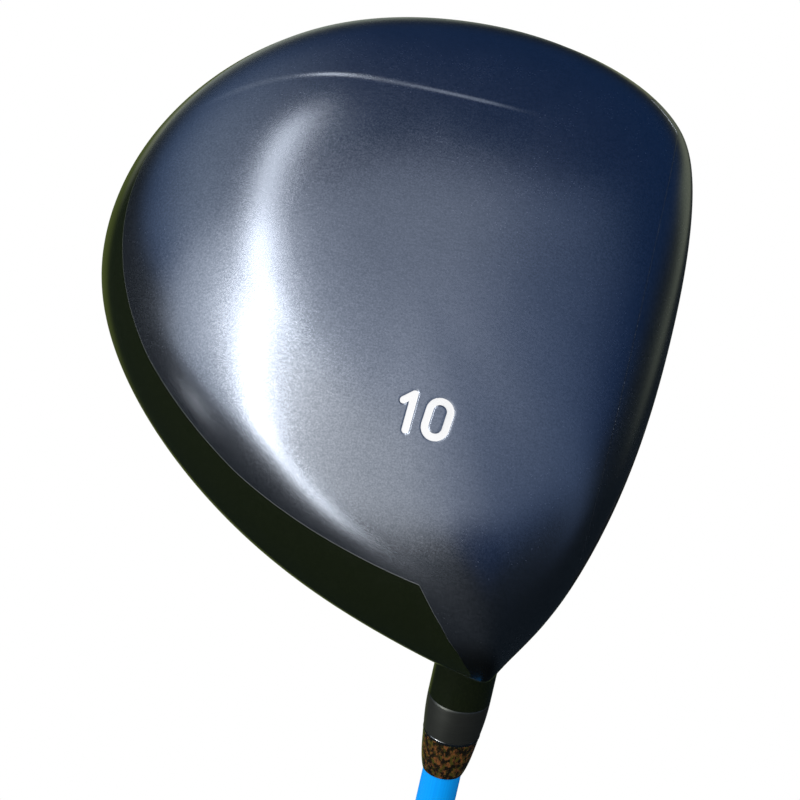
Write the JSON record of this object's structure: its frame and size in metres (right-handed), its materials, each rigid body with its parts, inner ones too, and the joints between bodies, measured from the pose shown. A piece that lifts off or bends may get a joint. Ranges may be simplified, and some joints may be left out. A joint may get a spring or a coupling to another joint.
{
  "type": "golf swing trainer",
  "caption": "Driver-shaped golf swing trainer with a hollow rounded head, a satin sole plate and black skirt, a long very flexible blue shaft and a round rubber grip.",
  "frame": {"origin": "centre of the vent hole in the flat butt face of the grip, on the shaft axis", "axes": "+Z along the shaft from the grip to the head, +X the way the face points, -Y the side the sole faces"},
  "size_m": [0.1122, 0.1134, 1.1557],
  "materials": {
    "gunmetal": "satin gunmetal with a fine grain",
    "gloss_black": "gloss black paint",
    "face_metal": "brushed, with a rolled leading edge",
    "ballast": "as cast",
    "hot_melt": "set hot-melt glue",
    "blue_composite": "gloss bright blue",
    "brass": "turned",
    "epoxy": "set glue",
    "grey_plastic": "satin",
    "bright_trim": "bright turned",
    "mottled_plastic": "polished, mottled brown and olive",
    "tape": "paper tape wrap",
    "grip_rubber": "matte moulded rubber"
  },
  "bodies": {
    "root": {"sole_plate": "gunmetal", "skirt_shell": "gloss_black", "crown_shell": "gloss_black", "face_cup": "face_metal", "hosel_tube": "gloss_black", "ballast_disc": "ballast", "damping_bead": "hot_melt", "shaft": "blue_composite", "tip_pin": "brass", "bond_line": "epoxy", "ferrule_collar": "grey_plastic", "ferrule_ring": "bright_trim", "ferrule_tip": "mottled_plastic", "grip_tape": "tape", "grip_sleeve": "grip_rubber", "grip_cap": "grip_rubber"}
  },
  "joints": []
}
